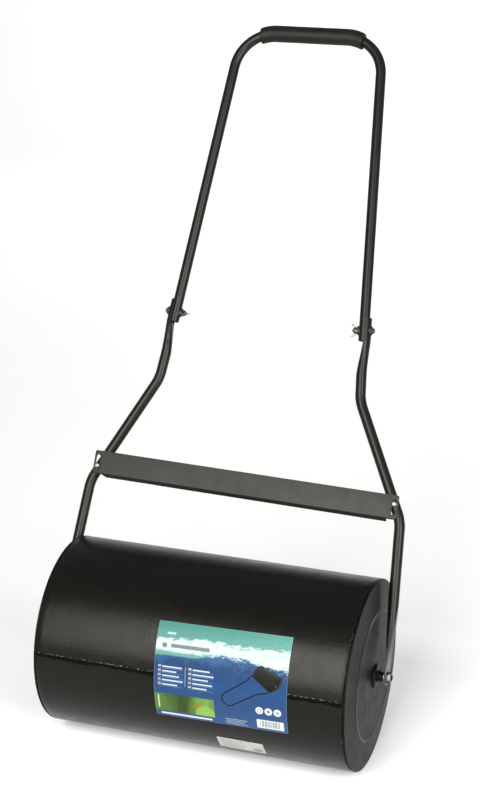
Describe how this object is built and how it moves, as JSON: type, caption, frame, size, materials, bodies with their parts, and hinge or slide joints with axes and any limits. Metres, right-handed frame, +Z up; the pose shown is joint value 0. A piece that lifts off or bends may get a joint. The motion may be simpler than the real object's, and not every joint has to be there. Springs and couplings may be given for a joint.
{
  "type": "lawn roller",
  "caption": "Push lawn roller: fillable black sheet-steel drum on a through axle, bent tubular handle with a foam grip, wing-nut joints and a slotted angle crossbar.",
  "frame": {"origin": "on the ground, under the middle of the drum axle", "axes": "+Z up, +X along the axle towards the capped end without a filler, and the handle leans back towards +Y"},
  "size_m": [0.609, 0.6679, 1.142],
  "materials": {
    "drum_paint": "semi-gloss black sprayed paint",
    "frame_paint": "satin black powder coat",
    "zinc": "bright zinc plating",
    "black_washer": "moulded black plastic",
    "grip_foam": "closed-cell foam, matt",
    "seal_rubber": "matt black rubber",
    "plug_plastic": "moulded black plastic",
    "label_print": "printed vinyl label",
    "sticker_paper": "plain paper sticker"
  },
  "bodies": {
    "handle_frame": {"right_lower_arm": "frame_paint", "left_lower_arm": "frame_paint", "upper_handle": "frame_paint", "foam_grip": "grip_foam", "right_joint_bolt": "zinc", "right_outer_saddle_washer": "black_washer", "right_inner_saddle_washer": "black_washer", "right_joint_washer": "zinc", "right_crossbar_screw": "zinc", "right_crossbar_washer": "zinc", "right_crossbar_nut": "zinc", "left_joint_bolt": "zinc", "left_outer_saddle_washer": "black_washer", "left_inner_saddle_washer": "black_washer", "left_joint_washer": "zinc", "left_crossbar_screw": "zinc", "left_crossbar_washer": "zinc", "left_crossbar_nut": "zinc"},
    "drum": {"drum_shell": "drum_paint", "right_end_cap": "drum_paint", "left_end_cap": "drum_paint", "right_hub_flange": "drum_paint", "left_hub_flange": "drum_paint", "axle": "drum_paint", "filler_neck": "drum_paint", "drum_label": "label_print", "data_sticker": "sticker_paper", "right_inner_washer": "zinc", "right_outer_washer": "zinc", "right_axle_nut": "zinc", "right_split_pin": "zinc", "left_inner_washer": "zinc", "left_outer_washer": "zinc", "left_axle_nut": "zinc", "left_split_pin": "zinc"},
    "filler_plug": {"filler_plug": "plug_plastic", "plug_seal": "seal_rubber"},
    "crossbar": {"crossbar": "frame_paint"},
    "right_wing_nut": {"right_wing_nut": "zinc"},
    "left_wing_nut": {"left_wing_nut": "zinc"}
  },
  "joints": [
    {"name": "drum_spin", "type": "hinge", "parent": "handle_frame", "child": "drum", "pos_m": [0, 0, 0.16], "axis": [1, 0, 0], "continuous": true},
    {"name": "filler_plug_out", "type": "slide", "parent": "drum", "child": "filler_plug", "axis": [-1, 0, 0], "range_m": [0, 0.03]},
    {"name": "crossbar_slide", "type": "slide", "parent": "handle_frame", "child": "crossbar", "axis": [0, 0.454, 0.891], "range_m": [-0.0038, 0.0038]},
    {"name": "right_wing_nut_turn", "type": "hinge", "parent": "handle_frame", "child": "right_wing_nut", "pos_m": [0.1716, 0.25914, 0.66859], "axis": [0.9966, 0.0372, 0.0731], "continuous": true},
    {"name": "left_wing_nut_turn", "type": "hinge", "parent": "handle_frame", "child": "left_wing_nut", "pos_m": [-0.1716, 0.25914, 0.66859], "axis": [-0.9966, 0.0372, 0.0731], "continuous": true}
  ]
}
